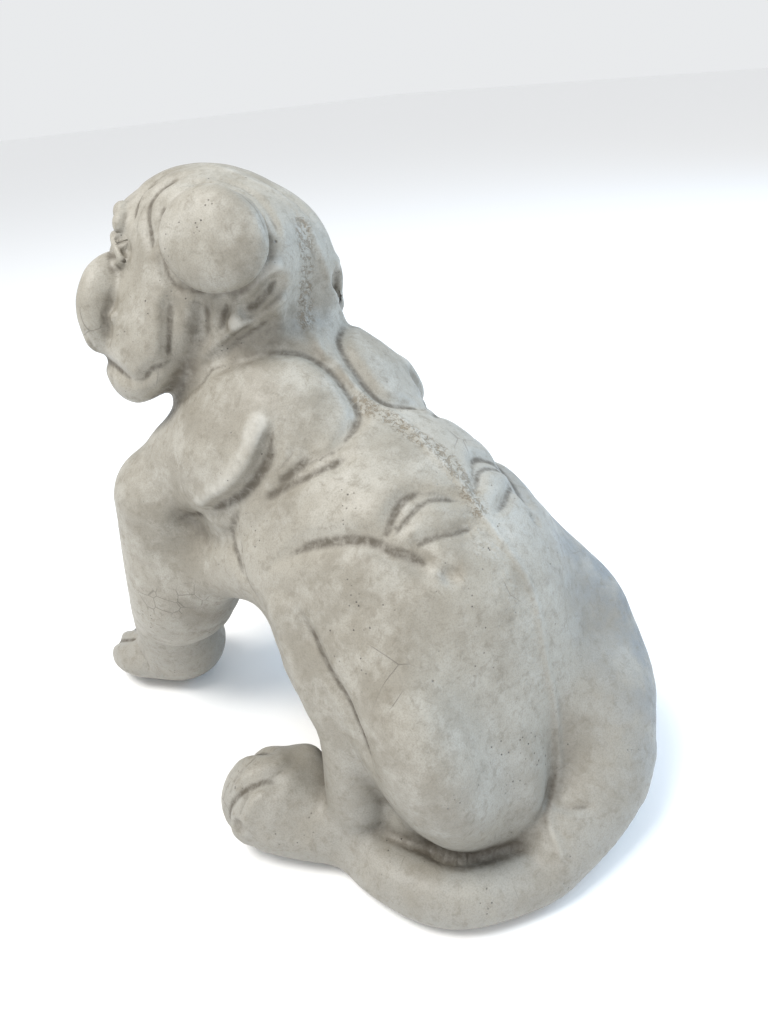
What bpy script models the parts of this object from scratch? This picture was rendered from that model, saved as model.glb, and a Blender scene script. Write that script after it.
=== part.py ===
"""Sitting bulldog, a garden statue cast in concrete as one solid piece.

The dog faces -Y, its left side is +X and it sits on the plane Z = 0. The figure is set out in parts of
its own height: one PART is a 400th of HEIGHT, so a length of 72 below is 72 mm on the statue as it is.
Each form of the body is an ellipsoid or a tapered limb, and each melts into what came before it over its
own blend width. Rough balls are joined by a voxel remesh, and every vertex is then drawn onto the smooth
surface that the forms give. SET_BACK is how far the finished figure is moved along Y, so that the origin
is under the middle of its box.
"""

import math

import bmesh
import bpy
import numpy as np
from mathutils import Euler, Matrix, Vector

HEIGHT = 0.400
PART = HEIGHT / 400
VOXEL = 4.0
TRIANGLES = 9600
CONCRETE = (0.56, 0.54, 0.48, 1.0)
ROUGHNESS = 0.62
SET_BACK = 11.0

FAR = 1e3
REACH = 26.0
PROBE = 0.25
CLUSTER = 6000
CLOSE = 0.03

HEAD_CENTRE = np.array((7.0, -92.0, 328.0))
HEAD_TURN = (-6.0, -10.0, 13.0)


def turned(degrees):
    """Rotation matrix of three Euler angles, taking a form's own axes to the body's."""
    return np.array(Euler([math.radians(a) for a in degrees]).to_matrix())


def smooth_least(a, b, blend):
    """The lesser of two distances, rounded over where they nearly agree."""
    near = np.maximum(blend - np.abs(a - b), 0.0) / blend
    return np.minimum(a, b) - near * near * blend / 4


def smooth_run(stations, steps=4):
    """Stations (x, y, z, radius...) with a Catmull-Rom curve drawn through them."""
    rows = np.array(stations, float)
    if len(rows) < 3:
        return rows
    padded = np.vstack([2 * rows[0] - rows[1], rows, 2 * rows[-1] - rows[-2]])
    made = []
    for before, a, b, after in zip(padded, padded[1:], padded[2:], padded[3:]):
        for t in np.arange(steps) / steps:
            made.append(
                0.5 * (2 * a + (b - before) * t + (2 * before - 5 * a + 4 * b - after) * t**2
                       + (3 * a - before - 3 * b + after) * t**3)
            )
    return np.vstack([made, rows[-1]])


class Ball:
    """An ellipsoid: its centre, its three radii and its turn."""

    def __init__(self, centre, radii, turn=(0, 0, 0)):
        self.centre = np.array(centre, float)
        self.radii = np.array(radii, float)
        self.turn = np.array(turn, float)
        self.lay()

    def lay(self):
        self.axes = turned(self.turn)
        self.low = self.centre - self.radii.max()
        self.high = self.centre + self.radii.max()

    def distance(self, points):
        local = (points - self.centre) @ self.axes / self.radii
        reach = np.linalg.norm(local, axis=1)
        slope = np.linalg.norm(local / self.radii, axis=1)
        return reach * (reach - 1) / np.maximum(slope, 1e-9)

    def matrices(self):
        spread = Matrix.Diagonal((*self.radii, 1.0))
        yield Matrix.Translation(self.centre) @ Matrix(self.axes).to_4x4() @ spread


class Limb:
    """A tapered round bar through stations, each (x, y, z, radius)."""

    def __init__(self, *stations):
        self.stations = np.array(stations, float)
        self.lay()

    def lay(self):
        self.rows = smooth_run(self.stations)
        self.low = (self.rows[:, :3] - self.rows[:, 3:]).min(axis=0)
        self.high = (self.rows[:, :3] + self.rows[:, 3:]).max(axis=0)

    def distance(self, points):
        least = np.full(len(points), FAR)
        for a, b in zip(self.rows, self.rows[1:]):
            along = b[:3] - a[:3]
            share = np.clip((points - a[:3]) @ along / (along @ along), 0, 1)
            gap = np.linalg.norm(points - a[:3] - share[:, None] * along, axis=1)
            least = np.minimum(least, gap - a[3] - share * (b[3] - a[3]))
        return least

    def matrices(self):
        for a, b in zip(self.rows, self.rows[1:]):
            count = max(1, math.ceil(np.linalg.norm(b[:3] - a[:3]) / (0.5 * min(a[3], b[3]))))
            for t in np.arange(count + 1) / count:
                x, y, z, radius = a + (b - a) * t
                yield Matrix.Translation((x, y, z)) @ Matrix.Scale(radius, 4)


def nearby(points, form, margin):
    """Which of the points lie within the margin of the form's own box."""
    low, high = form.low - margin, form.high + margin
    if (points.max(axis=0) < low).any() or (points.min(axis=0) > high).any():
        return np.zeros(len(points), bool)
    return ((points > low) & (points < high)).all(axis=1)


class Figure:
    """Forms melted into one another, with creases drawn into the skin that they make."""

    def __init__(self):
        self.forms = []
        self.creases = []

    def add(self, form, blend, mirror=True, head=False, hollow=False):
        """Adds a form, or cuts it away where it is hollow. A head form is set out from the head's centre."""
        self.forms.append((form, blend, mirror, head, hollow))

    def sides(self, points, mirror, head):
        """The points as a form sees them, and again from the other side where it is mirrored."""
        seen = (points - HEAD_CENTRE) @ turned(HEAD_TURN) if head else points
        yield seen
        if mirror:
            yield seen * (-1, 1, 1)

    def distance(self, points, creased=True):
        """Signed distance from the skin, less than nought inside, a few thousand neighbours at a time."""
        if len(points) > CLUSTER:
            widest = np.ptp(points, axis=0).argmax()
            order = np.argsort(points[:, widest], kind="stable")
            total = np.empty(len(points))
            for half in np.array_split(order, 2):
                total[half] = self.distance(points[half], creased)
            return total
        total = np.full(len(points), FAR)
        for form, blend, mirror, head, hollow in self.forms:
            for seen in self.sides(points, mirror, head):
                near = nearby(seen, form, REACH + blend)
                if not near.any():
                    continue
                own = form.distance(seen[near])
                if hollow:
                    total[near] = -smooth_least(-total[near], own, blend)
                else:
                    total[near] = smooth_least(total[near], own, blend)
        if creased:
            for path, width, depth, mirror, head in self.creases:
                for seen in self.sides(points, mirror, head):
                    near = nearby(seen, path, 3 * width)
                    if near.any():
                        gap = path.distance(seen[near])
                        total[near] += depth * np.exp(-((np.maximum(gap, 0) / width) ** 2))
        return total

    def slope(self, points, value, creased=True):
        """Gradient of the distance by short steps along each axis."""
        return np.stack(
            [(self.distance(points + PROBE * axis, creased) - value) / PROBE for axis in np.eye(3)],
            axis=1,
        )

    def drawn(self, points, rounds=5, creased=True):
        """The points drawn onto the skin, each until it is CLOSE to it."""
        points = points.copy()
        left = np.arange(len(points))
        for _ in range(rounds):
            value = self.distance(points[left], creased)
            far = np.abs(value) > CLOSE
            left, value = left[far], value[far]
            if not len(left):
                break
            slope = self.slope(points[left], value, creased)
            size = np.maximum((slope**2).sum(axis=1), 0.25)
            move = -(value / size)[:, None] * slope
            length = np.maximum(np.linalg.norm(move, axis=1), 1e-9)
            points[left] += move * np.minimum(1, 8 / length)[:, None]
        return points

    def crease(self, points, width, depth, mirror=True, head=False):
        """Draws a groove along points laid on the skin, or a ridge where the depth is under nought."""
        rows = smooth_run(points)
        if head:
            rows = rows @ turned(HEAD_TURN).T + HEAD_CENTRE
        rows = self.drawn(rows, 8, creased=False)
        if head:
            rows = (rows - HEAD_CENTRE) @ turned(HEAD_TURN)
        path = Limb(*np.column_stack([rows, np.zeros(len(rows))]))
        self.creases.append((path, width, depth, mirror, head))

    def rough(self):
        """A mesh of balls that roughly fill the forms."""
        shape = bmesh.new()
        for form, _, mirror, head, hollow in self.forms:
            if hollow:
                continue
            place = Matrix()
            if head:
                place = Matrix.Translation(HEAD_CENTRE) @ Matrix(turned(HEAD_TURN)).to_4x4()
            for matrix in form.matrices():
                for side in (1, -1) if mirror else (1,):
                    flip = Matrix.Diagonal((side, 1, 1, 1))
                    bmesh.ops.create_icosphere(shape, subdivisions=3, radius=1, matrix=place @ flip @ matrix)
        bmesh.ops.recalc_face_normals(shape, faces=shape.faces)
        mesh = bpy.data.meshes.new("rough")
        shape.to_mesh(mesh)
        shape.free()
        return mesh


def build_figure():
    f = Figure()

    # Trunk
    f.add(Ball((0, 50, 106), (85, 87, 113), (12, 0, 0)), 20, mirror=False)
    f.add(Limb((0, 48, 141, 91), (0, 18, 172, 82), (0, -51, 206, 75)), 40, mirror=False)
    f.add(Ball((0, -88, 198), (75, 62, 78), (-8.5, 0, 0)), 30, mirror=False)
    f.add(Limb((0, -46, 222, 52), (0, -75, 259, 57), (0, -106, 293, 63)), 30, mirror=False)

    # Haunch and hind leg
    f.add(Ball((46, 90, 89), (41, 79, 79), (16, 16, -34)), 24)
    f.add(Ball((28, 71, 80), (38, 76, 110), (45, -9.3, 2)), 30)
    f.add(Limb((83, 28, 160, 15), (85, 54, 120, 19), (86, 70, 93, 19), (93, 77, 44, 19)), 5)
    f.add(Limb((96, 77, 20, 22), (114, 50, 23, 25), (123, 25, 30, 32)), 6)

    # Foreleg, and the skin from the elbow to the flank
    f.add(Limb((78, -110, 189, 38), (80, -118, 115, 42), (87, -141, 78, 30), (78, -157, 36, 34)), 16)
    f.add(Ball((91, -186, 18.6), (36, 39, 21), (7, -11, 10)), 12)
    f.add(Limb((75, -92, 134, 20), (70, -41, 156, 22), (66, -3, 173, 23)), 24)

    # Shoulder and upper arm
    f.add(Ball((40, -46, 234), (43, 55, 68), (-51, -41, 13)), 14)
    f.add(Ball((56, -92, 213), (40, 51, 36), (34, -13, 2)), 7)

    # Tail, laid round the left haunch onto the foot
    f.add(Limb((-54, 142, 65, 44), (-40, 156, 43, 41)), 24, mirror=False)
    f.add(Limb((-24, 169, 36, 33), (0, 173, 27, 28), (23, 175, 22, 23), (44, 176, 16, 17),
               (79, 158, 15.6, 16.5), (95, 138, 16, 17), (102, 108, 15.6, 17), (102, 76, 15, 16),
               (102, 52, 26, 16), (98, 29, 40, 15)), 7, mirror=False)

    # Skull, muzzle and jaw
    f.add(Ball((0, -12, 13), (55, 68, 48), (-4, 0, 0)), 20, mirror=False, head=True)
    f.add(Ball((47, -31, -36), (21, 42, 49), (-1, -15, -17)), 16, head=True)
    f.add(Ball((42, -54, -31), (36, 19, 37), (8.4, 3, 2.6)), 5, head=True)
    f.add(Ball((0, -82, -34), (20, 20, 30)), 10, mirror=False, head=True)
    f.add(Ball((0, -66, -68), (38, 36, 20)), 8, mirror=False, head=True)
    f.add(Ball((22, -59, 20), (17, 16, 18)), 6, head=True)
    f.add(Ball((0, -60, 4), (22, 26, 18)), 10, mirror=False, head=True)
    f.add(Limb((0, -84, 2, 8), (16, -78, 6, 8), (30, -68, 2, 7)), 5, head=True)
    f.add(Ball((0, -98, -12), (15, 9, 10)), 4, mirror=False, head=True)

    # Ears
    f.add(Ball((25, 30, 2.5), (15, 30, 38), (-2, -14, 3)), 20, head=True)
    f.add(Ball((50, 31, 24), (13, 32, 29), (0, -13, 22)), 5, mirror=False, head=True)
    f.add(Ball((-46, 28, 1), (10, 30, 35), (3, 19.6, -19)), 5, mirror=False, head=True)

    # Seat, filling the ground between the haunches and the tail
    f.add(Ball((42, 100, 10), (60, 72, 18)), 6)
    f.add(Ball((72, 84, 28), (20, 36, 30)), 8)

    # Eyes in their sockets
    f.add(Ball((40, -66, 3), (10, 8, 8)), 4, head=True, hollow=True)
    f.add(Ball((39, -62, 3), (9, 8, 8)), 1, head=True)

    # Hip dimple
    f.add(Ball((38, 114, 199), (5, 6, 5)), 4, hollow=True)

    # Folds behind the arm and round the shoulder blade
    f.crease([(57, -4, 256), (64, -2, 244), (72, -6, 232), (80, -15, 220), (86, -28, 211),
              (90, -47, 201)], 7, 8)
    f.crease([(61, -12, 260), (67, -10, 249), (75, -13, 237), (83, -23, 224), (90, -38, 213)], 8, -3)
    f.crease([(90, -47, 201), (88, -66, 190), (95, -78, 188)], 7, 5)
    f.crease([(81, -17, 213), (83, -24, 201), (84, -30, 188), (89, -18, 180), (92, -7, 168)], 6, 3)
    f.crease([(45, 17, 246), (57, 12, 237), (70, 1, 226)], 5.5, 3)
    f.crease([(32, 38, 245), (48, 27, 239), (66, 8, 227), (75, -5, 217)], 5.5, 3)
    f.crease([(59, -60, 280), (47, -45, 290), (32, -33, 293), (16, -22, 290), (9, -11, 283), (7, 2, 272),
              (8, 15, 262), (15, 23, 255), (30, 27, 250), (36, 26, 247)], 5, 5)

    # Loin folds
    f.crease([(17, 81, 232), (31, 76, 230), (41, 76, 225), (46, 77, 221), (55, 79, 212)], 5, 4)
    f.crease([(2, 98, 222), (20, 86, 228), (35, 83, 224), (52, 82, 213)], 4, 3)
    f.crease([(5, 108, 213), (22, 103, 213), (33, 98, 214), (48, 91, 210)], 4, 3)

    # Top and front of the thigh
    f.crease([(85, 16, 190), (75, 38, 205), (67, 56, 212), (59, 70, 214), (52, 86, 210), (46, 98, 206),
              (44, 104, 202)], 7, 6)
    f.crease([(90, 42, 170), (93, 56, 158), (96, 71, 143), (98, 86, 132), (101, 98, 116), (102, 108, 98)], 5, 6)

    # Jowl and neck folds, from the cheek back to the nape
    f.crease([(58, 3, -9), (61, 7, -25), (62, 8, -37), (61, 7, -52)], 5, 6, head=True)
    f.crease([(49, 21, -8), (48, 21, -24), (46, 19, -40)], 5, 6, head=True)
    f.crease([(45, 36, -8), (45, 33, -19), (45, 28, -33)], 4, 5, head=True)
    f.crease([(26, 61, 6), (32, 58, -1), (37, 52, -9), (41, 44, -15)], 6, 8, head=True)
    f.crease([(25, 58, -17), (33, 54, -24), (40, 43, -31), (43, 33, -40), (46, 24, -49)], 5, 6, head=True)
    f.crease([(29, 58, 12), (37, 52, -1), (41, 46, -11), (43, 39, -21)], 5, -3, head=True)

    # Forehead wrinkles, running back over the skull
    f.crease([(58, -14, 10), (56, -16, 18), (51, -23, 30), (45, -26, 39), (38, -22, 48),
              (30, -13, 54)], 4, 4, head=True)
    f.crease([(50, -36, 24), (44, -41, 34), (37, -40, 44), (31, -29, 51)], 4, 4, head=True)
    f.crease([(54, -9, 21), (51, -11, 31), (46, -13, 40)], 4, 3, head=True)
    f.crease([(0, -75, 14), (0, -66, 26), (0, -50, 44)], 5, 5, mirror=False, head=True)

    # Lips and mouth
    f.crease([(0, -104, -24), (0, -104, -40), (0, -100, -58)], 4, 3, mirror=False, head=True)
    f.crease([(0, -98, -62), (28, -96, -68), (50, -76, -66), (66, -50, -60), (74, -28, -62),
              (70, -12, -66)], 4.5, 6, head=True)
    f.crease([(70, -10, -66), (70, -1, -55), (63, 9, -51)], 4, 4, head=True)

    # Toes
    f.crease([(122, 42, 58), (131, 33, 58), (142, 26, 54), (150, 20, 42), (152, 18, 18)], 5, 6)
    f.crease([(112, 20, 60), (117, 6, 54), (123, -6, 38), (125, -8, 16)], 5, 6)
    f.crease([(104, -180, 40), (112, -198, 34), (114, -216, 24), (112, -224, 8)], 4.5, 5)
    f.crease([(94, -182, 40), (97, -202, 36), (98, -220, 26), (98, -228, 8)], 4.5, 5)
    f.crease([(84, -180, 40), (83, -200, 34), (82, -216, 24), (82, -222, 8)], 4.5, 5)
    return f


def skin_mesh(figure, voxel, name="bulldog"):
    """The figure's skin as a closed mesh in parts, its vertices about a voxel apart."""
    guide = bpy.data.objects.new("guide", figure.rough())
    bpy.context.scene.collection.objects.link(guide)
    modifier = guide.modifiers.new("join", "REMESH")
    modifier.mode = "VOXEL"
    modifier.voxel_size = voxel
    for _ in range(2):
        bpy.context.view_layer.update()
        mesh = bpy.data.meshes.new_from_object(guide.evaluated_get(bpy.context.evaluated_depsgraph_get()))
        flat = np.empty(3 * len(mesh.vertices), np.float32)
        mesh.vertices.foreach_get("co", flat)
        drawn = figure.drawn(flat.reshape(-1, 3).astype(float))
        mesh.vertices.foreach_set("co", drawn.astype(np.float32).ravel())
        mesh.update()
        guide.data = mesh
    guide.modifiers.clear()
    bpy.data.objects.remove(guide)
    mesh.name = name
    return mesh


def concrete():
    material = bpy.data.materials.new("concrete")
    material.use_nodes = True
    shader = material.node_tree.nodes["Principled BSDF"]
    shader.inputs["Base Color"].default_value = CONCRETE
    shader.inputs["Roughness"].default_value = ROUGHNESS
    shader.inputs["Metallic"].default_value = 0.0
    return material


def ground_cutter(collection):
    """A block that takes away all below the ground, so that paws, seat and tail end in flat soles."""
    mesh = bpy.data.meshes.new("ground")
    shape = bmesh.new()
    bmesh.ops.create_cube(shape, size=1)
    bmesh.ops.translate(shape, verts=shape.verts, vec=(0, 0, -0.5))
    shape.to_mesh(mesh)
    shape.free()
    cutter = bpy.data.objects.new("ground", mesh)
    cutter.hide_render = True
    cutter.display_type = "WIRE"
    collection.objects.link(cutter)
    return cutter


def main():
    for old in list(bpy.data.objects):
        bpy.data.objects.remove(old)
    parts = bpy.data.collections.new("bulldog garden statue")
    cutters = bpy.data.collections.new("cutters")
    for collection in (parts, cutters):
        bpy.context.scene.collection.children.link(collection)

    mesh = skin_mesh(build_figure(), VOXEL)
    mesh.transform(Matrix.Scale(PART, 4) @ Matrix.Translation((0, SET_BACK, 0)))
    mesh.materials.append(concrete())
    mesh.shade_smooth()
    statue = bpy.data.objects.new("bulldog", mesh)
    parts.objects.link(statue)

    thin = statue.modifiers.new("thin", "DECIMATE")
    thin.ratio = TRIANGLES / (2 * len(mesh.vertices))
    sole = statue.modifiers.new("sole", "BOOLEAN")
    sole.operation = "DIFFERENCE"
    sole.solver = "EXACT"
    sole.object = ground_cutter(cutters)


if __name__ == "__main__":
    main()
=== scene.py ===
"""Garden statue of a sitting bulldog, cast in concrete: its whole skin with folds, seam and air holes.

The dog faces -Y and its left side is +X. The figure is set out in parts of its height, one PART being 1 mm
here, with the same forms as the solid model and finer folds laid over them. Each vertex of the skin carries
how deep a fold it lies in, how dark that fold is painted with shade and dirt, how hollow the skin is round
it, which is painted as shade and dirt too, and how near it lies to the chipped, filed and scratched places.
The material reads these.
"""

import math

import bmesh
import bpy
import numpy as np
from mathutils import Euler, Matrix, Vector, noise


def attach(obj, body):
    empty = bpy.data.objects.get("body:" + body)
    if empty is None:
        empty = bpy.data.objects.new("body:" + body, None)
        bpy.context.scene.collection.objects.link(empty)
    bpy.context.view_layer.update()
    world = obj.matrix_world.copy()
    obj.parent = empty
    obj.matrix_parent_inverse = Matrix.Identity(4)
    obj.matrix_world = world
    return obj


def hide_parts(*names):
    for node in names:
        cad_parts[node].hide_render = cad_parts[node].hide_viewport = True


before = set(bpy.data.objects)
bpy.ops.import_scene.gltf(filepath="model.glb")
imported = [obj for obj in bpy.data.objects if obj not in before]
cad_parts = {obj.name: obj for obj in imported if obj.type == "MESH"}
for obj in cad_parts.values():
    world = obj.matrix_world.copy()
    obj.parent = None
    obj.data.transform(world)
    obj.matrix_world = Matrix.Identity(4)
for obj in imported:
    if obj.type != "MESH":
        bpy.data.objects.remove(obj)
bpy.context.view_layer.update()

HEIGHT = 0.400
PART = HEIGHT / 400
SET_BACK = 11.0

# Fineness of the mesh in parts: the first skin, then the skin that takes the fine folds
COARSE = 4.0
FINE = 1.9
MOST_TRIANGLES = 190000
DRAWING_ROUNDS = 3

# Reading of the figure's distances in parts
FAR = 1e3
REACH = 26.0
PROBE = 0.25
CLUSTER = 6000
CLOSE = 0.03

# Grooves fade over this share of their length at each end, and are painted dark with shade and dirt in this
# share of their width
FADE_SHARE = 0.2
FADE_DROP = 1.2
SHADE_AND_DIRT_SHARE = 0.55
DARKEST_DEPTH = 3.5

# Cast unevenness in parts: height, size and seed of each noise, and how far out hollows are felt
UNEVEN = ((0.35, 16, 1), (0.14, 5.5, 2))
HOLLOW_REACH = 6

# Places on the skin, in parts, where it is chipped, filed or scratched, and how wide each reaches
CHIPPED = (
    ((5, 15, 263), (0, 32, 255), (-2, 49, 249), (-6, 68, 240), (-3, 88, 228), (2, 101, 218)),
    ((-12, -41, 355), (-7, -35, 342), (-5, -35, 328), (-3, -37, 313), (0, -34, 302)),
)
FILED = (((10, 108, 210), (12, 132, 178), (10, 145, 150), (10, 152, 115)),)
SCRATCHED = (((118, -98, 126), (106, -82, 126), (98, -70, 132)),)
CHIPPED_WIDTH = 8
FILED_WIDTH = 9
SCRATCHED_WIDTH = 14

# Camera in degrees and metres, fitted to a picture 1024 pixels high
CAMERA_ANGLES = (138.74, 29.98, -5.52)
CAMERA_TARGET = (-0.0037, 0.0281, 0.1829)
CAMERA_DISTANCE = 0.4908
FOCAL_PIXELS = 755.3
PICTURE_PIXELS = 1024
SENSOR_WIDTH = 36.0

# Studio: each lamp's name, place, size, watts and colour, and the pale surroundings
LAMPS = (
    ("key", (0.9, -0.2, 2.0), 0.8, 36, (1.0, 0.985, 0.95)),
    ("sky", (-1.8, 0.9, 1.3), 1.4, 36, (0.47, 0.72, 1.0)),
)
LIT_HEIGHT = 0.18
FLOOR_HALF = 14.0
FLOOR_GREY = 0.95
SURROUND_COLOUR = (0.97, 0.985, 1.0, 1.0)
SURROUND_STRENGTH = 0.84

HEAD_CENTRE = np.array((7.0, -92.0, 328.0))
HEAD_TURN = (-6.0, -10.0, 13.0)


def turned(degrees):
    """Rotation matrix of three Euler angles, taking a form's own axes to the body's."""
    return np.array(Euler([math.radians(a) for a in degrees]).to_matrix())


def smooth_least(a, b, blend):
    """The lesser of two distances, rounded over where they nearly agree."""
    near = np.maximum(blend - np.abs(a - b), 0.0) / blend
    return np.minimum(a, b) - near * near * blend / 4


def smooth_run(stations, steps=4):
    """Stations (x, y, z, radius...) with a Catmull-Rom curve drawn through them."""
    rows = np.array(stations, float)
    if len(rows) < 3:
        return rows
    padded = np.vstack([2 * rows[0] - rows[1], rows, 2 * rows[-1] - rows[-2]])
    made = []
    for before, a, b, after in zip(padded, padded[1:], padded[2:], padded[3:]):
        for t in np.arange(steps) / steps:
            made.append(
                0.5 * (2 * a + (b - before) * t + (2 * before - 5 * a + 4 * b - after) * t**2
                       + (3 * a - before - 3 * b + after) * t**3)
            )
    return np.vstack([made, rows[-1]])


class Ball:
    """An ellipsoid: its centre, its three radii and its turn."""

    def __init__(self, centre, radii, turn=(0, 0, 0)):
        self.centre = np.array(centre, float)
        self.radii = np.array(radii, float)
        self.turn = np.array(turn, float)
        self.lay()

    def lay(self):
        self.axes = turned(self.turn)
        self.low = self.centre - self.radii.max()
        self.high = self.centre + self.radii.max()

    def distance(self, points):
        local = (points - self.centre) @ self.axes / self.radii
        reach = np.linalg.norm(local, axis=1)
        slope = np.linalg.norm(local / self.radii, axis=1)
        return reach * (reach - 1) / np.maximum(slope, 1e-9)

    def matrices(self):
        spread = Matrix.Diagonal((*self.radii, 1.0))
        yield Matrix.Translation(self.centre) @ Matrix(self.axes).to_4x4() @ spread


class Limb:
    """A tapered round bar through stations, each (x, y, z, radius)."""

    def __init__(self, *stations):
        self.stations = np.array(stations, float)
        self.lay()

    def lay(self):
        self.rows = smooth_run(self.stations)
        self.low = (self.rows[:, :3] - self.rows[:, 3:]).min(axis=0)
        self.high = (self.rows[:, :3] + self.rows[:, 3:]).max(axis=0)

    def distance(self, points):
        least = np.full(len(points), FAR)
        for a, b in zip(self.rows, self.rows[1:]):
            along = b[:3] - a[:3]
            share = np.clip((points - a[:3]) @ along / (along @ along), 0, 1)
            gap = np.linalg.norm(points - a[:3] - share[:, None] * along, axis=1)
            least = np.minimum(least, gap - a[3] - share * (b[3] - a[3]))
        return least

    def matrices(self):
        for a, b in zip(self.rows, self.rows[1:]):
            count = max(1, math.ceil(np.linalg.norm(b[:3] - a[:3]) / (0.5 * min(a[3], b[3]))))
            for t in np.arange(count + 1) / count:
                x, y, z, radius = a + (b - a) * t
                yield Matrix.Translation((x, y, z)) @ Matrix.Scale(radius, 4)


def nearby(points, form, margin):
    """Which of the points lie within the margin of the form's own box."""
    low, high = form.low - margin, form.high + margin
    if (points.max(axis=0) < low).any() or (points.min(axis=0) > high).any():
        return np.zeros(len(points), bool)
    return ((points > low) & (points < high)).all(axis=1)


class Figure:
    """Forms melted into one another, with creases drawn into the skin that they make."""

    def __init__(self):
        self.forms = []
        self.creases = []

    def add(self, form, blend, mirror=True, head=False, hollow=False):
        """Adds a form, or cuts it away where it is hollow. A head form is set out from the head's centre."""
        self.forms.append((form, blend, mirror, head, hollow))

    def sides(self, points, mirror, head):
        """The points as a form sees them, and again from the other side where it is mirrored."""
        seen = (points - HEAD_CENTRE) @ turned(HEAD_TURN) if head else points
        yield seen
        if mirror:
            yield seen * (-1, 1, 1)

    def distance(self, points, creased=True):
        """Signed distance from the skin, less than nought inside, a few thousand neighbours at a time."""
        if len(points) > CLUSTER:
            widest = np.ptp(points, axis=0).argmax()
            order = np.argsort(points[:, widest], kind="stable")
            total = np.empty(len(points))
            for half in np.array_split(order, 2):
                total[half] = self.distance(points[half], creased)
            return total
        total = np.full(len(points), FAR)
        for form, blend, mirror, head, hollow in self.forms:
            for seen in self.sides(points, mirror, head):
                near = nearby(seen, form, REACH + blend)
                if not near.any():
                    continue
                own = form.distance(seen[near])
                if hollow:
                    total[near] = -smooth_least(-total[near], own, blend)
                else:
                    total[near] = smooth_least(total[near], own, blend)
        if creased:
            for path, width, depth, mirror, head in self.creases:
                for seen in self.sides(points, mirror, head):
                    near = nearby(seen, path, 3 * width)
                    if near.any():
                        gap = path.distance(seen[near])
                        total[near] += depth * np.exp(-((np.maximum(gap, 0) / width) ** 2))
        return total

    def shade_and_dirt(self, points):
        """How dark the creases are painted below points of the uncreased skin, with shade and dirt, from 0
        to 1 over a deep one.
        """
        total = np.zeros(len(points))
        for path, width, depth, mirror, head in self.creases:
            if depth > 0:
                for seen in self.sides(points, mirror, head):
                    near = nearby(seen, path, 3 * width)
                    if near.any():
                        gap = np.maximum(path.distance(seen[near]), 0)
                        held = min(1, depth / DARKEST_DEPTH) * np.exp(-((gap / (SHADE_AND_DIRT_SHARE * width)) ** 2))
                        total[near] = np.maximum(total[near], held)
        return total

    def slope(self, points, value, creased=True):
        """Gradient of the distance by short steps along each axis."""
        return np.stack(
            [(self.distance(points + PROBE * axis, creased) - value) / PROBE for axis in np.eye(3)],
            axis=1,
        )

    def drawn(self, points, rounds=5, creased=True):
        """The points drawn onto the skin, each until it is CLOSE to it."""
        points = points.copy()
        left = np.arange(len(points))
        for _ in range(rounds):
            value = self.distance(points[left], creased)
            far = np.abs(value) > CLOSE
            left, value = left[far], value[far]
            if not len(left):
                break
            slope = self.slope(points[left], value, creased)
            size = np.maximum((slope**2).sum(axis=1), 0.25)
            move = -(value / size)[:, None] * slope
            length = np.maximum(np.linalg.norm(move, axis=1), 1e-9)
            points[left] += move * np.minimum(1, 8 / length)[:, None]
        return points

    def crease(self, points, width, depth, mirror=True, head=False):
        """Draws a groove that fades at its ends, or a ridge where the depth is under nought."""
        rows = smooth_run(points, 2)
        if head:
            rows = rows @ turned(HEAD_TURN).T + HEAD_CENTRE
        rows = self.drawn(rows, 8, creased=False)
        if head:
            rows = (rows - HEAD_CENTRE) @ turned(HEAD_TURN)
        share = np.linspace(0, 1, len(rows))
        fade = np.maximum(1 - np.minimum(share, 1 - share) / FADE_SHARE, 0) ** 2
        path = Limb(*np.column_stack([rows, -FADE_DROP * width * fade * (depth > 0)]))
        self.creases.append((path, width, depth, mirror, head))

    def rough(self):
        """A mesh of balls that roughly fill the forms."""
        shape = bmesh.new()
        for form, _, mirror, head, hollow in self.forms:
            if hollow:
                continue
            place = Matrix()
            if head:
                place = Matrix.Translation(HEAD_CENTRE) @ Matrix(turned(HEAD_TURN)).to_4x4()
            for matrix in form.matrices():
                for side in (1, -1) if mirror else (1,):
                    flip = Matrix.Diagonal((side, 1, 1, 1))
                    bmesh.ops.create_icosphere(shape, subdivisions=3, radius=1, matrix=place @ flip @ matrix)
        bmesh.ops.recalc_face_normals(shape, faces=shape.faces)
        mesh = bpy.data.meshes.new("rough")
        shape.to_mesh(mesh)
        shape.free()
        return mesh


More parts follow.
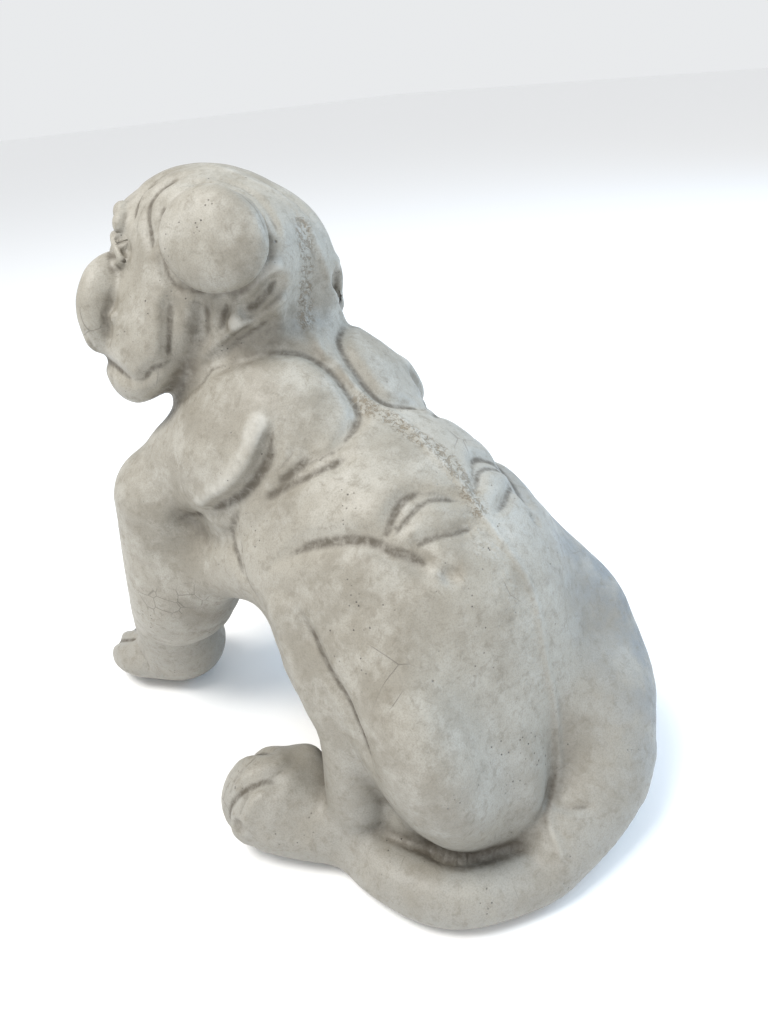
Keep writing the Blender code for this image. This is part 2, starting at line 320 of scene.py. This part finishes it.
def build_figure():
    f = Figure()

    # Trunk
    f.add(Ball((0, 50, 106), (85, 87, 113), (12, 0, 0)), 20, mirror=False)
    f.add(Limb((0, 48, 141, 91), (0, 18, 172, 82), (0, -51, 206, 75)), 40, mirror=False)
    f.add(Ball((0, -88, 198), (75, 62, 78), (-8.5, 0, 0)), 30, mirror=False)
    f.add(Limb((0, -46, 222, 52), (0, -75, 259, 57), (0, -106, 293, 63)), 30, mirror=False)

    # Haunch and hind leg
    f.add(Ball((46, 90, 89), (41, 79, 79), (16, 16, -34)), 24)
    f.add(Ball((28, 71, 80), (38, 76, 110), (45, -9.3, 2)), 30)
    f.add(Limb((83, 28, 160, 15), (85, 54, 120, 19), (86, 70, 93, 19), (93, 77, 44, 19)), 5)
    f.add(Limb((96, 77, 20, 22), (114, 50, 23, 25), (123, 25, 30, 32)), 6)

    # Foreleg, and the skin from the elbow to the flank
    f.add(Limb((78, -110, 189, 38), (80, -118, 115, 42), (87, -141, 78, 30), (78, -157, 36, 34)), 16)
    f.add(Ball((91, -186, 18.6), (36, 39, 21), (7, -11, 10)), 12)
    f.add(Limb((75, -92, 134, 20), (70, -41, 156, 22), (66, -3, 173, 23)), 24)

    # Shoulder and upper arm
    f.add(Ball((40, -46, 234), (43, 55, 68), (-51, -41, 13)), 14)
    f.add(Ball((56, -92, 213), (40, 51, 36), (34, -13, 2)), 7)

    # Tail, laid round the left haunch onto the foot
    f.add(Limb((-54, 142, 65, 44), (-40, 156, 43, 41)), 24, mirror=False)
    f.add(Limb((-24, 169, 36, 33), (0, 173, 27, 28), (23, 175, 22, 23), (44, 176, 16, 17),
               (79, 158, 15.6, 16.5), (95, 138, 16, 17), (102, 108, 15.6, 17), (102, 76, 15, 16),
               (102, 52, 26, 16), (98, 29, 40, 15)), 7, mirror=False)

    # Skull, muzzle and jaw
    f.add(Ball((0, -12, 13), (55, 68, 48), (-4, 0, 0)), 20, mirror=False, head=True)
    f.add(Ball((47, -31, -36), (21, 42, 49), (-1, -15, -17)), 16, head=True)
    f.add(Ball((42, -54, -31), (36, 19, 37), (8.4, 3, 2.6)), 5, head=True)
    f.add(Ball((0, -82, -34), (20, 20, 30)), 10, mirror=False, head=True)
    f.add(Ball((0, -66, -68), (38, 36, 20)), 8, mirror=False, head=True)
    f.add(Ball((22, -59, 20), (17, 16, 18)), 6, head=True)
    f.add(Ball((0, -60, 4), (22, 26, 18)), 10, mirror=False, head=True)
    f.add(Limb((0, -84, 2, 8), (16, -78, 6, 8), (30, -68, 2, 7)), 5, head=True)
    f.add(Ball((0, -98, -12), (15, 9, 10)), 4, mirror=False, head=True)

    # Ears
    f.add(Ball((25, 30, 2.5), (15, 30, 38), (-2, -14, 3)), 20, head=True)
    f.add(Ball((50, 31, 24), (13, 32, 29), (0, -13, 22)), 5, mirror=False, head=True)
    f.add(Ball((-46, 28, 1), (10, 30, 35), (3, 19.6, -19)), 5, mirror=False, head=True)

    # Seat, filling the ground between the haunches and the tail
    f.add(Ball((42, 100, 10), (60, 72, 18)), 6)
    f.add(Ball((72, 84, 28), (20, 36, 30)), 8)

    # Eyes with their lids
    f.add(Ball((42, -50, 6), (9, 9, 8)), 1, head=True)
    f.add(Limb((31, -63, 5, 2.4), (37, -63, 12, 3), (46, -57, 14, 3.2), (54, -46, 9, 2.8),
               (57, -38, 3, 2)), 3, head=True)
    f.add(Limb((32, -63, 3, 2), (39, -62, -2, 2.6), (48, -55, -2, 2.8), (56, -42, 1, 2)), 3, head=True)

    # Hip dimple
    f.add(Ball((38, 114, 199), (5, 6, 5)), 4, hollow=True)

    # Folds behind the arm and round the shoulder blade
    f.crease([(57, -4, 256), (64, -2, 244), (72, -6, 232), (80, -15, 220), (86, -28, 211),
              (90, -47, 201)], 7, 8)
    f.crease([(61, -12, 260), (67, -10, 249), (75, -13, 237), (83, -23, 224), (90, -38, 213)], 8, -3)
    f.crease([(90, -47, 201), (88, -66, 190), (95, -78, 188)], 7, 5)
    f.crease([(81, -17, 213), (83, -24, 201), (84, -30, 188), (89, -18, 180), (92, -7, 168)], 6, 3)
    f.crease([(45, 17, 246), (57, 12, 237), (70, 1, 226)], 5.5, 3)
    f.crease([(32, 38, 245), (48, 27, 239), (66, 8, 227), (75, -5, 217)], 5.5, 3)
    f.crease([(59, -60, 280), (47, -45, 290), (32, -33, 293), (16, -22, 290), (9, -11, 283),
              (7, 2, 272), (8, 15, 262), (15, 23, 255), (30, 27, 250), (36, 26, 247)], 5, 5)

    # Loin folds
    f.crease([(17, 81, 232), (31, 76, 230), (41, 76, 225), (46, 77, 221), (55, 79, 212)], 5, 4)
    f.crease([(2, 98, 222), (20, 86, 228), (35, 83, 224), (52, 82, 213)], 4, 3)
    f.crease([(5, 108, 213), (22, 103, 213), (33, 98, 214), (48, 91, 210)], 4, 3)

    # Top and front of the thigh
    f.crease([(85, 16, 190), (75, 38, 205), (67, 56, 212), (59, 70, 214), (52, 86, 210),
              (46, 98, 206), (44, 104, 202)], 7, 6)
    f.crease([(90, 42, 170), (93, 56, 158), (96, 71, 143), (98, 86, 132), (101, 98, 116),
              (102, 108, 98)], 5, 6)

    # Jowl and neck folds, from the cheek back to the nape
    f.crease([(58, 3, -9), (61, 7, -25), (62, 8, -37), (61, 7, -52)], 5, 6, head=True)
    f.crease([(49, 21, -8), (48, 21, -24), (46, 19, -40)], 5, 6, head=True)
    f.crease([(45, 36, -8), (45, 33, -19), (45, 28, -33)], 4, 5, head=True)
    f.crease([(26, 61, 6), (32, 58, -1), (37, 52, -9), (41, 44, -15)], 6, 8, head=True)
    f.crease([(25, 58, -17), (33, 54, -24), (40, 43, -31), (43, 33, -40), (46, 24, -49)], 5, 6, head=True)
    f.crease([(29, 58, 12), (37, 52, -1), (41, 46, -11), (43, 39, -21)], 5, -3, head=True)

    # Forehead wrinkles, running back over the skull
    f.crease([(58, -14, 10), (56, -16, 18), (51, -23, 30), (45, -26, 39), (38, -22, 48),
              (30, -13, 54)], 4, 4, head=True)
    f.crease([(50, -36, 24), (44, -41, 34), (37, -40, 44), (31, -29, 51)], 4, 4, head=True)
    f.crease([(54, -9, 21), (51, -11, 31), (46, -13, 40)], 4, 3, head=True)
    f.crease([(0, -75, 14), (0, -66, 26), (0, -50, 44)], 5, 5, mirror=False, head=True)

    # Lips and mouth
    f.crease([(0, -104, -24), (0, -104, -40), (0, -100, -58)], 4, 3, mirror=False, head=True)
    f.crease([(0, -98, -62), (28, -96, -68), (50, -76, -66), (66, -50, -60), (74, -28, -62),
              (70, -12, -66)], 4.5, 6, head=True)
    f.crease([(70, -10, -66), (70, -1, -55), (63, 9, -51)], 4, 4, head=True)

    # Toes
    f.crease([(122, 42, 58), (131, 33, 58), (142, 26, 54), (150, 20, 42), (152, 18, 18)], 5, 6)
    f.crease([(112, 20, 60), (117, 6, 54), (123, -6, 38), (125, -8, 16)], 5, 6)
    f.crease([(104, -180, 40), (112, -198, 34), (114, -216, 24), (112, -224, 8)], 4.5, 5)
    f.crease([(94, -182, 40), (97, -202, 36), (98, -220, 26), (98, -228, 8)], 4.5, 5)
    f.crease([(84, -180, 40), (83, -200, 34), (82, -216, 24), (82, -222, 8)], 4.5, 5)
    return f


def skin_mesh(figure, voxel, name="bulldog"):
    """The figure's skin as a closed mesh in parts, its vertices about a voxel apart."""
    guide = bpy.data.objects.new("guide", figure.rough())
    bpy.context.scene.collection.objects.link(guide)
    modifier = guide.modifiers.new("join", "REMESH")
    modifier.mode = "VOXEL"
    modifier.voxel_size = voxel
    for _ in range(2):
        bpy.context.view_layer.update()
        mesh = bpy.data.meshes.new_from_object(guide.evaluated_get(bpy.context.evaluated_depsgraph_get()))
        flat = np.empty(3 * len(mesh.vertices), np.float32)
        mesh.vertices.foreach_get("co", flat)
        drawn = figure.drawn(flat.reshape(-1, 3).astype(float))
        mesh.vertices.foreach_set("co", drawn.astype(np.float32).ravel())
        mesh.update()
        guide.data = mesh
    guide.modifiers.clear()
    bpy.data.objects.remove(guide)
    mesh.name = name
    return mesh


def fine_figure():
    """The solid model's figure with the folds and edges that are too fine for it."""
    f = build_figure()

    # Rough lumps on the brow, and a lump beside the flew
    f.add(Ball((45, -50, 22), (7, 6, 8)), 2, head=True)
    f.add(Ball((40, -56, 28), (6, 6, 7)), 2, head=True)
    f.add(Ball((64, -36, -30), (6, 4, 5)), 3, head=True)
    f.crease([(45, -54, 15), (51, -42, 11), (56, -31, 7)], 3, 2, head=True)

    # Lips meeting under a broad nose, its nostrils, and the hole in the hind foot
    f.add(Ball((15, -84, -36), (19, 18, 27)), 7, head=True)
    f.add(Ball((0, -82, -3), (27, 20, 18)), 10, mirror=False, head=True)
    f.add(Ball((0, -99, -6), (17, 9, 12)), 4, mirror=False, head=True)
    f.add(Ball((8, -107, -6), (4, 4, 3.5)), 1.5, head=True, hollow=True)
    f.add(Ball((155, 33, 37), (5, 8, 6)), 1.5, mirror=False, hollow=True)

    # Ears, undercut below and in front, with folds over the top
    f.crease([(49, -11, 36), (53, -9, 27), (57, -8, 18), (56, -4, 7), (56, -1, 1), (55, 6, -5),
              (51, 14, -7), (48, 23, -7), (45, 36, -5)], 3.4, 3.2, mirror=False, head=True)
    f.crease([(36, -12, 48), (32, 2, 50), (36, 20, 52), (41, 40, 50), (38, 54, 43), (37, 61, 33),
              (36, 62, 24)], 2.8, 2, mirror=False, head=True)
    f.crease([(24, 2, 54), (19, 24, 52), (20, 38, 46), (21, 49, 36),
              (23, 56, 27)], 2.6, 2, mirror=False, head=True)
    f.crease([(-56, -4, 12), (-58, 4, -10), (-55, 16, -26), (-49, 30, -34), (-43, 44, -30),
              (-38, 54, -14)], 3.2, 2.6, mirror=False, head=True)

    # Wrinkles of the skull
    f.crease([(56, -19, 13), (53, -22, 23), (49, -24, 34), (41, -25, 44), (33, -20, 51),
              (25, -9, 56)], 2.4, 2, head=True)
    f.crease([(50, -37, 24), (44, -41, 34), (36, -41, 44), (28, -35, 52),
              (22, -22, 57)], 2.4, 2, head=True)
    f.crease([(55, -27, 13), (52, -31, 23), (48, -31, 33), (43, -31, 41)], 2.4, 1.8, head=True)
    f.crease([(13, -9, 59), (8, 18, 55), (0, 35, 48), (-6, 49, 36), (-10, 58, 22),
              (-18, 62, 3)], 2.4, -1.2, mirror=False, head=True)
    f.crease([(5, -6, 59), (-6, 27, 51), (-12, 45, 41), (-17, 56, 27),
              (-25, 60, 8)], 2.4, 1.4, mirror=False, head=True)

    # Cheek, flews and mouth
    f.crease([(61, -41, -14), (66, -39, -24), (69, -39, -34), (69, -39, -48)], 3, 2.2, head=True)
    f.crease([(77, -55, -38), (73, -51, -48), (67, -50, -57), (69, -41, -63),
              (67, -39, -74)], 2.8, 2, head=True)
    f.crease([(76, -53, -48), (71, -50, -58), (70, -41, -67)], 2.4, -2, head=True)
    f.crease([(72, -20, -67), (72, -12, -63), (70, -8, -62), (69, -2, -56), (61, 7, -50),
              (51, 10, -46)], 3, 2.2, head=True)

    # Jowl and neck folds
    f.crease([(58, 3, -10), (61, 6, -24), (62, 8, -37), (61, 7, -52)], 3, 2.2, head=True)
    f.crease([(49, 22, -10), (48, 20, -23), (46, 17, -41)], 3.2, 2.6, head=True)
    f.crease([(46, 36, -8), (46, 31, -20), (45, 26, -34)], 3.2, 2.6, head=True)
    f.crease([(23, 61, 6), (33, 57, -3), (39, 50, -10), (42, 44, -16)], 3.2, 1.5, mirror=False, head=True)
    f.crease([(23, 61, -5), (35, 55, -13), (41, 44, -23), (44, 32, -34)], 2.6, -2, head=True)
    f.crease([(27, 59, -14), (34, 53, -23), (39, 46, -29), (42, 37, -36), (44, 26, -45),
              (47, 17, -53)], 3.2, 2.6, head=True)
    f.crease([(30, 55, -23), (37, 48, -32), (42, 38, -39), (46, 26, -50)], 2.4, 2, head=True)
    f.crease([(17, -24, 291), (33, -34, 293), (45, -43, 290), (56, -60, 284), (62, -65, 276),
              (70, -81, 262)], 3.2, 2.6)

    # Folds behind the arm, over the ribs and in the loin
    f.crease([(54, -4, 261), (60, -3, 253), (66, -3, 243), (73, -6, 232), (78, -12, 221),
              (85, -25, 212), (90, -45, 202)], 3.2, 2.6)
    f.crease([(51, 9, 250), (58, 8, 243), (67, 2, 235), (72, -3, 228)], 2.6, 2)
    f.crease([(28, 30, 250), (40, 26, 246), (52, 17, 241), (61, 11, 235), (70, 2, 227)], 2.6, 2.2)
    f.crease([(35, 39, 244), (49, 29, 239), (58, 18, 233), (66, 10, 226), (75, -1, 215)], 2.6, 1.6)
    f.crease([(35, -34, 292), (16, -22, 290), (10, -10, 283), (7, 3, 273), (8, 15, 263),
              (18, 26, 255), (30, 29, 250)], 2.6, 2)
    f.crease([(2, 96, 222), (16, 84, 229), (28, 76, 230), (38, 75, 226), (47, 77, 219)], 2.8, 2)
    f.crease([(9, 105, 214), (27, 99, 215), (39, 93, 214), (49, 88, 211)], 2.4, 1.8)
    f.crease([(83, -21, 197), (89, -13, 184), (92, -5, 169), (90, 4, 156)], 2.8, 2)

    # Haunch, shin, foot and tail
    f.crease([(89, 11, 183), (80, 28, 197), (73, 45, 207), (66, 58, 212), (59, 72, 212),
              (53, 85, 209), (47, 100, 202)], 2.6, 2)
    f.crease([(90, 41, 171), (92, 50, 161), (95, 66, 149), (97, 81, 136), (100, 95, 123),
              (102, 109, 110)], 3, 2.2)
    f.crease([(110, 35, 56), (126, 35, 60), (139, 31, 57), (148, 31, 49), (152, 32, 40)], 3, 2.2)
    f.crease([(118, 15, 60), (130, 15, 59), (142, 15, 53), (150, 17, 45)], 2.4, 2)
    f.crease([(21, 170, 48), (14, 181, 50), (5, 189, 50)], 2.4, 2.2, mirror=False)
    f.crease([(109, -181, 41), (114, -159, 35), (114, -155, 25)], 2.4, 2)

    # Mould seam, standing proud along the back of the head, the spine and the tail's root
    f.crease([(0, 57, -9), (2, 61, -21), (5, 72, -36)], 2.4, -1.2, mirror=False, head=True)
    f.crease([(-4, -31, 298), (1, -23, 291), (6, -9, 282), (2, 1, 274), (-2, 15, 263), (-6, 37, 252),
              (-1, 64, 242), (-1, 83, 232), (2, 103, 217), (0, 127, 192), (-2, 133, 182),
              (-1, 142, 160), (0, 149, 135), (-1, 153, 106), (2, 158, 79), (8, 164, 56),
              (23, 170, 47), (29, 173, 45), (37, 187, 37)], 2.4, -1.3, mirror=False)
    return f



def vertices_of(mesh):
    flat = np.empty(3 * len(mesh.vertices), np.float32)
    mesh.vertices.foreach_get("co", flat)
    return flat.reshape(-1, 3).astype(float)


def normals_of(mesh):
    flat = np.empty(3 * len(mesh.vertices), np.float32)
    mesh.vertex_normals.foreach_get("vector", flat)
    return flat.reshape(-1, 3).astype(float)


def with_modifier(mesh, kind, **settings):
    """The mesh after one modifier."""
    guide = bpy.data.objects.new("guide", mesh)
    bpy.context.scene.collection.objects.link(guide)
    modifier = guide.modifiers.new("change", kind)
    for name, value in settings.items():
        setattr(modifier, name, value)
    bpy.context.view_layer.update()
    made = bpy.data.meshes.new_from_object(guide.evaluated_get(bpy.context.evaluated_depsgraph_get()))
    bpy.data.objects.remove(guide)
    return made


def rough_hand(points, scale, seed):
    """A smooth noise at each point, about -1 to 1, with features of that size."""
    shift = Vector((seed * 17.3, seed * 5.1, seed * 9.7))
    return np.array([noise.noise(Vector(p) / scale + shift) for p in points])


def nearness(points, paths, width):
    """How near each point lies to the paths, from 1 on them to 0 some way off."""
    limbs = [Limb(*[(*station, 0) for station in path]) for path in paths]
    gap = np.min([limb.distance(points) for limb in limbs], axis=0)
    return np.exp(-((gap / width) ** 2))


def cast_skin():
    """The statue's skin: drawn coarse, then fine, made a little uneven and set flat on the ground."""
    figure = fine_figure()
    mesh = skin_mesh(figure, COARSE)
    mesh = with_modifier(mesh, "REMESH", mode="VOXEL", voxel_size=FINE)
    points = figure.drawn(vertices_of(mesh), DRAWING_ROUNDS)
    mesh.vertices.foreach_set("co", points.astype(np.float32).ravel())
    mesh.update()
    share = MOST_TRIANGLES / (2 * len(mesh.vertices))
    if share < 1:
        mesh = with_modifier(mesh, "DECIMATE", ratio=share)
    points = vertices_of(mesh)
    normals = normals_of(mesh)
    smooth = figure.distance(points, creased=False)
    outward = figure.distance(points + HOLLOW_REACH * normals, creased=False)
    uncreased = points - smooth[:, None] * figure.slope(points, smooth, creased=False)
    # Read by the material: the folds, the painted crease shade with dirt, the hollowness it paints as shade
    # with dirt, and the worn places
    shown = {
        "fold": figure.distance(points) - smooth,
        "crease_shade_and_dirt": figure.shade_and_dirt(uncreased),
        "hollow": 1 - (outward - smooth) / HOLLOW_REACH,
        "chipped": nearness(points, CHIPPED, CHIPPED_WIDTH),
        "filed": nearness(points, FILED, FILED_WIDTH),
        "scratched": nearness(points, SCRATCHED, SCRATCHED_WIDTH),
    }
    uneven = sum(height * rough_hand(points, scale, seed) for height, scale, seed in UNEVEN)
    points += normals * uneven[:, None]
    points[:, 2] = np.maximum(points[:, 2], 0)
    mesh.vertices.foreach_set("co", points.astype(np.float32).ravel())
    for name, value in shown.items():
        mesh.attributes.new(name, "FLOAT", "POINT").data.foreach_set("value", value.astype(np.float32))
    mesh.transform(Matrix.Scale(PART, 4) @ Matrix.Translation((0, SET_BACK, 0)))
    mesh.shade_smooth()
    mesh.name = "statue"
    return mesh


class Nodes:
    """A short way to write a material's nodes."""

    def __init__(self, tree):
        self.tree = tree

    def add(self, kind, inputs=None, **settings):
        """A node of that kind. Each input is a value or another node's output."""
        node = self.tree.nodes.new(kind)
        for name, value in settings.items():
            setattr(node, name, value)
        for name, value in (inputs or {}).items():
            socket = node.inputs[name]
            if isinstance(value, bpy.types.NodeSocket):
                self.tree.links.new(value, socket)
            else:
                socket.default_value = value
        return node

    def noise(self, place, scale, detail=3.0, roughness=0.55, distortion=0.0):
        inputs = {"Vector": place, "Scale": scale, "Detail": detail}
        inputs |= {"Roughness": roughness, "Distortion": distortion}
        return self.add("ShaderNodeTexNoise", inputs).outputs["Fac"]

    def ramp(self, value, low, high, to_low=0.0, to_high=1.0):
        """The value taken smoothly from low..high to to_low..to_high, and held beyond them."""
        inputs = {"Value": value, "From Min": low, "From Max": high, "To Min": to_low, "To Max": to_high}
        return self.add("ShaderNodeMapRange", inputs, interpolation_type="SMOOTHSTEP").outputs["Result"]

    def math(self, operation, a, b=0.0, c=0.0):
        return self.add("ShaderNodeMath", {0: a, 1: b, 2: c}, operation=operation).outputs["Value"]

    def mix(self, share, a, b, blend="MIX"):
        node = self.add("ShaderNodeMix", data_type="RGBA", blend_type=blend)
        for index, value in ((0, share), (6, a), (7, b)):
            if isinstance(value, bpy.types.NodeSocket):
                self.tree.links.new(value, node.inputs[index])
            else:
                node.inputs[index].default_value = value
        return node.outputs[2]


def rgb(red, green, blue):
    return (red, green, blue, 1.0)


def concrete():
    """Weathered cast concrete: mottled and pored, with painted shade and dirt in the folds and hollows, and
    ridges rubbed pale, partly wear and partly a painted highlight.
    """
    material = bpy.data.materials.new("concrete")
    material.use_nodes = True
    tree = material.node_tree
    shader = tree.nodes["Principled BSDF"]
    n = Nodes(tree)
    place = n.add("ShaderNodeTexCoord").outputs["Object"]
    fold, crease_shade_and_dirt, hollow, chipped, filed, scratched = (
        n.add("ShaderNodeAttribute", attribute_name=name).outputs["Fac"]
        for name in ("fold", "crease_shade_and_dirt", "hollow", "chipped", "filed", "scratched")
    )
    at = n.add("ShaderNodeSeparateXYZ", {"Vector": place}).outputs

    broad = n.noise(place, 14, 4, 0.6)
    cloud = n.noise(place, 45, 5, 0.65)
    mottle = n.noise(place, 160, 4, 0.7, 0.4)
    grain = n.noise(place, 1100, 3, 0.7)

    # Ground colour, warm on the left side and head, blue-grey on the right haunch with painted shade and
    # blue sky light there, greyer near the ground as painted shade
    colour = n.mix(n.ramp(broad, 0.38, 0.62), rgb(0.265, 0.243, 0.20), rgb(0.35, 0.327, 0.278))
    colour = n.mix(n.ramp(cloud, 0.42, 0.70, 0.0, 0.65), colour, rgb(0.45, 0.432, 0.385))
    # Painted shade: greyer and a little darker near the ground
    low = n.math("MULTIPLY", n.ramp(at["Z"], 0.16, 0.0), n.ramp(cloud, 0.3, 0.65, 0.35, 0.8))
    colour = n.mix(low, colour, rgb(0.30, 0.29, 0.262))
    # Blue-grey right haunch: the stone's own tone, with painted shade and blue sky light on that side
    right = n.math("MULTIPLY", n.ramp(at["X"], 0.0, -0.10), n.ramp(at["Y"], -0.02, 0.14))
    right = n.math("MULTIPLY", right, n.ramp(cloud, 0.35, 0.62, 0.3, 0.95))
    colour = n.mix(right, colour, rgb(0.175, 0.19, 0.20))
    colour = n.mix(n.ramp(mottle, 0.48, 0.72, 0.0, 0.5), colour, rgb(0.19, 0.168, 0.13))
    colour = n.mix(n.ramp(grain, 0.40, 0.70, 0.0, 0.30), colour, rgb(0.14, 0.13, 0.11))

    # Painted shade and dirt in the folds and hollows, near black in the deepest, and paler ridges, partly
    # rubbed by hands and rain and partly a painted highlight
    patchy = n.ramp(mottle, 0.3, 0.6, 0.5, 1.0)
    # Painted shade, with dirt, in the creases, near black in the deepest
    shade_and_dirt = n.math("MULTIPLY", n.ramp(crease_shade_and_dirt, 0.15, 0.95, 0.0, 0.85), patchy)
    colour = n.mix(shade_and_dirt, colour, rgb(0.075, 0.062, 0.045))
    # Painted shade, with dirt, in the hollows of the skin
    hollow_shade_and_dirt = n.math("MULTIPLY", n.ramp(hollow, 0.10, 0.75), patchy)
    colour = n.mix(n.math("MULTIPLY", hollow_shade_and_dirt, 0.8), colour, rgb(0.10, 0.084, 0.062))
    # Ridges painted pale: partly wear, partly a painted highlight
    worn_and_highlit = n.math("MULTIPLY", n.ramp(fold, -0.3, -2.0), n.ramp(cloud, 0.3, 0.6, 0.1, 0.4))
    colour = n.mix(worn_and_highlit, colour, rgb(0.60, 0.585, 0.54))

    # Brown chipped band along the seam
    spots = n.noise(place, 330, 3, 0.75, 0.6)
    chips = n.math("MULTIPLY", n.ramp(chipped, 0.25, 0.8), n.ramp(spots, 0.47, 0.60))
    colour = n.mix(n.math("MULTIPLY", chips, 0.75), colour, rgb(0.17, 0.135, 0.09))

    # Air holes of two sizes, fewer of the large, painted near black as the shade inside them
    def holes(scale, low, high, share):
        """Round holes in that share of the cells of a Voronoi pattern."""
        cell = n.add("ShaderNodeTexVoronoi", {"Vector": place, "Scale": scale, "Randomness": 1.0})
        lot = n.add("ShaderNodeSeparateColor", {"Color": cell.outputs["Color"]}).outputs["Red"]
        chosen = n.ramp(lot, 1 - share, 1 - share + 0.05)
        return n.math("MULTIPLY", n.ramp(cell.outputs["Distance"], high, low), chosen)

    small = n.math("MULTIPLY", holes(420, 0.08, 0.30, 0.16), n.ramp(n.noise(place, 26, 3), 0.50, 0.62))
    large = n.math("MULTIPLY", holes(130, 0.04, 0.16, 0.10), n.ramp(n.noise(place, 17, 2), 0.50, 0.60))
    pores = n.math("MAXIMUM", small, large)
    colour = n.mix(n.math("MULTIPLY", pores, 0.9), colour, rgb(0.045, 0.04, 0.034))

    # Hairline cracks in patches, and scratches on the foreleg
    def lines(scale, high, low, where):
        """Fine lines along the edges of a Voronoi pattern's cells, only in that place."""
        cell = n.add("ShaderNodeTexVoronoi", {"Vector": place, "Scale": scale}, feature="DISTANCE_TO_EDGE")
        return n.math("MULTIPLY", n.ramp(cell.outputs["Distance"], high, low), where)

    cracks = lines(30.0, 0.010, 0.002, n.ramp(n.noise(place, 22, 2), 0.60, 0.70))
    scratches = lines(75.0, 0.028, 0.008, n.ramp(scratched, 0.35, 0.7))
    line = n.math("MAXIMUM", cracks, scratches)
    colour = n.mix(n.math("MULTIPLY", line, 0.55), colour, rgb(0.13, 0.115, 0.095))

    tree.links.new(colour, shader.inputs["Base Color"])
    sheen = n.math("ADD", n.math("MULTIPLY", mottle, 0.6), n.math("MULTIPLY", cloud, 0.4))
    rough = n.ramp(sheen, 0.3, 0.7, 0.36, 0.62)
    rough = n.math("ADD", rough, n.math("MULTIPLY", shade_and_dirt, 0.25))
    tree.links.new(rough, shader.inputs["Roughness"])
    shader.inputs["Metallic"].default_value = 0.0
    shader.inputs["Specular IOR Level"].default_value = 0.45

    # Relief too fine for the mesh: holes, cracks, grain and chips, and the file's slanting marks
    slant = n.add("ShaderNodeMapping", {"Vector": place, "Rotation": (0.5, 0.0, 0.4)}).outputs["Vector"]
    wave = {"Vector": slant, "Scale": 75.0, "Distortion": 4.0, "Detail": 2.0, "Detail Scale": 3.0}
    marks = n.add("ShaderNodeTexWave", wave, bands_direction="Z").outputs["Fac"]
    marks = n.math("MULTIPLY", marks, filed)
    depth = n.math("MULTIPLY", pores, -1.0)
    for part, height in ((line, -0.5), (grain, 0.35), (mottle, 0.5), (chips, -0.9), (marks, 0.7)):
        depth = n.math("ADD", depth, n.math("MULTIPLY", part, height))
    bump = n.add("ShaderNodeBump", {"Height": depth, "Strength": 0.55, "Distance": 0.0008})
    tree.links.new(bump.outputs["Normal"], shader.inputs["Normal"])
    return material


def plain(name, colour, roughness):
    material = bpy.data.materials.new(name)
    material.use_nodes = True
    shader = material.node_tree.nodes["Principled BSDF"]
    shader.inputs["Base Color"].default_value = colour
    shader.inputs["Roughness"].default_value = roughness
    return material


def linked(name, data):
    made = bpy.data.objects.new(name, data)
    bpy.context.scene.collection.objects.link(made)
    return made


def set_stage():
    """A pale floor, soft light from a bright sky and the camera behind the dog's left shoulder."""
    mesh = bpy.data.meshes.new("floor")
    half = FLOOR_HALF
    corners = [(-half, -half, 0), (half, -half, 0), (half, half, 0), (-half, half, 0)]
    mesh.from_pydata(corners, [], [(0, 1, 2, 3)])
    mesh.materials.append(plain("floor", rgb(FLOOR_GREY, FLOOR_GREY, FLOOR_GREY), 0.9))
    linked("floor", mesh)

    world = bpy.data.worlds.new("studio")
    bpy.context.scene.world = world
    world.use_nodes = True
    background = world.node_tree.nodes["Background"]
    background.inputs["Color"].default_value = SURROUND_COLOUR
    background.inputs["Strength"].default_value = SURROUND_STRENGTH

    for name, place, size, watts, colour in LAMPS:
        light = bpy.data.lights.new(name, "AREA")
        light.size = size
        light.energy = watts
        light.color = colour
        lamp = linked(name, light)
        lamp.location = place
        aim = Vector((0, 0, LIT_HEIGHT)) - lamp.location
        lamp.rotation_euler = aim.to_track_quat("-Z", "Y").to_euler()

    azimuth, elevation, roll = (math.radians(a) for a in CAMERA_ANGLES)
    level = math.cos(elevation)
    back = Vector((math.sin(azimuth) * level, -math.cos(azimuth) * level, math.sin(elevation)))
    right = (-back).cross(Vector((0, 0, 1))).normalized()
    up = right.cross(-back)
    across = right * math.cos(roll) + up * math.sin(roll)
    upright = up * math.cos(roll) - right * math.sin(roll)
    spot = Vector(CAMERA_TARGET) + back * CAMERA_DISTANCE
    data = bpy.data.cameras.new("camera")
    data.sensor_fit = "AUTO"
    data.sensor_width = SENSOR_WIDTH
    data.lens = FOCAL_PIXELS / PICTURE_PIXELS * SENSOR_WIDTH
    data.clip_start = 0.02
    camera = linked("camera", data)
    camera.matrix_world = Matrix((across, upright, back)).transposed().to_4x4()
    camera.location = spot
    bpy.context.scene.camera = camera


bpy.context.scene.view_settings.view_transform = "Standard"
statue = linked("statue", cast_skin())
statue.data.materials.clear()
statue.data.materials.append(concrete())
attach(statue, "root")
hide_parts("bulldog")
set_stage()
